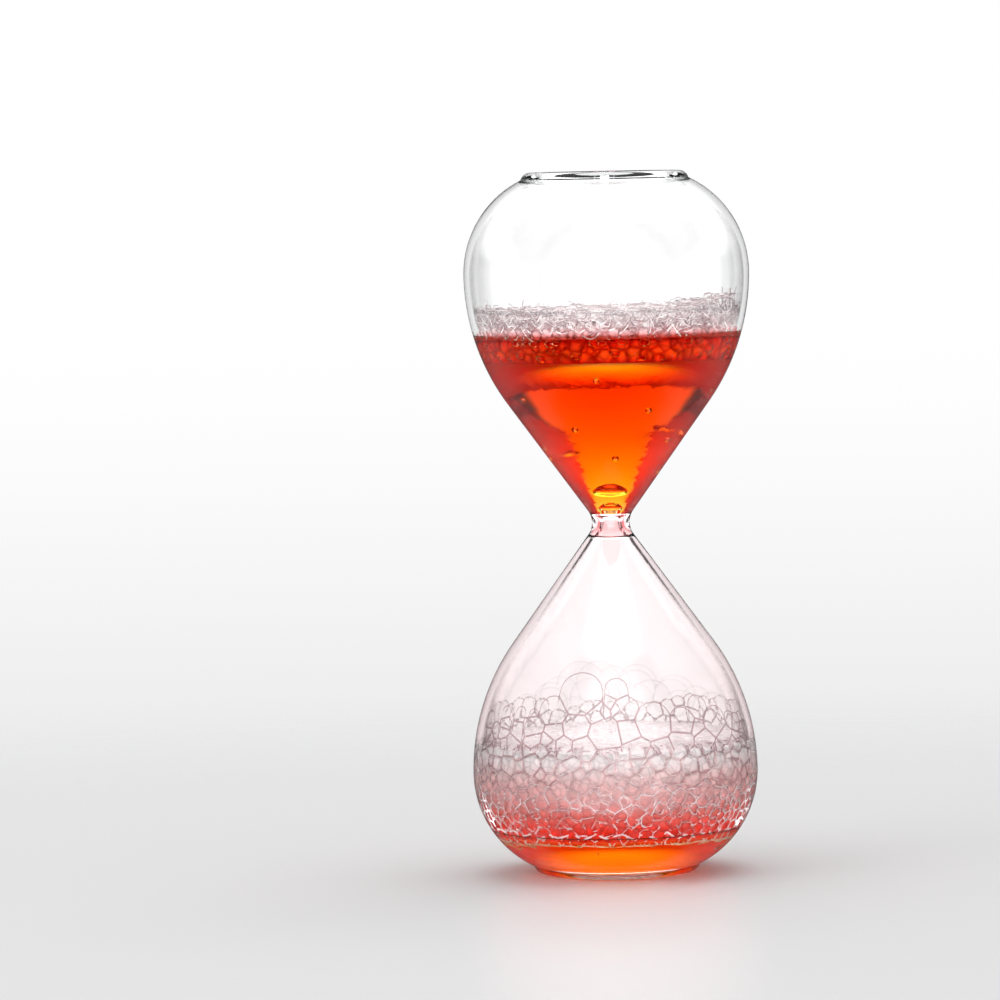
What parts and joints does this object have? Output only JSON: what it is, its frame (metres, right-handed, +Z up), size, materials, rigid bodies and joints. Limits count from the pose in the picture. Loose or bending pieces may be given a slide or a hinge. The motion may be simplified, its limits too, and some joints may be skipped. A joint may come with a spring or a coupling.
{
  "type": "liquid motion timer",
  "caption": "Free-standing glass bubble timer: teardrop bulbs joined at a narrow throat, holding orange-red liquid that runs down as air bubbles rise into foam.",
  "frame": {"origin": "centre of the ring that the lower bulb stands on, in the plane of that ring", "axes": "+Z up along the timer's axis, from the lower bulb to the upper bulb; +X to the right and +Y away from a viewer who sees the foam climb the wall at the right of the upper bulb"},
  "size_m": [0.056, 0.056, 0.1378],
  "materials": {
    "glass": "clear borosilicate, fire polished",
    "liquid": "clear dyed water with soap, wet and smooth",
    "liquid_film": "thin wet film of the same liquid, pale pink",
    "wet_foam": "wet bubbles, dark red to orange with bright glints",
    "dry_foam": "dry bubbles, pale pink cell borders on clear films",
    "bubble": "clear liquid film, glossy"
  },
  "bodies": {
    "vessel": {"upper_bulb": "glass", "lower_bulb": "glass", "waist": "glass", "seal_pip": "glass", "upper_liquid": "liquid", "lower_liquid": "liquid", "neck_film": "liquid_film", "wall_film": "liquid_film", "upper_wet_foam": "wet_foam", "upper_foam_raft": "dry_foam", "lower_wet_foam": "wet_foam", "lower_fine_foam": "dry_foam", "lower_coarse_foam": "dry_foam", "large_bubbles": "bubble", "wall_bubbles": "bubble"},
    "rising": {"rising_bubble": "bubble"},
    "budding": {"budding_bubble": "bubble"}
  },
  "joints": [
    {"name": "rising_bubble_rise", "type": "slide", "parent": "vessel", "child": "rising", "axis": [0, 0, 1], "range_m": [0, 0.0225], "deforming": ["upper_liquid"]},
    {"name": "budding_bubble_rise", "type": "slide", "parent": "vessel", "child": "budding", "axis": [0, 0, 1], "range_m": [0, 0.0225]}
  ],
  "couplings": [
    {"joint": "budding_bubble_rise", "follows": "rising_bubble_rise", "ratio": 1}
  ]
}
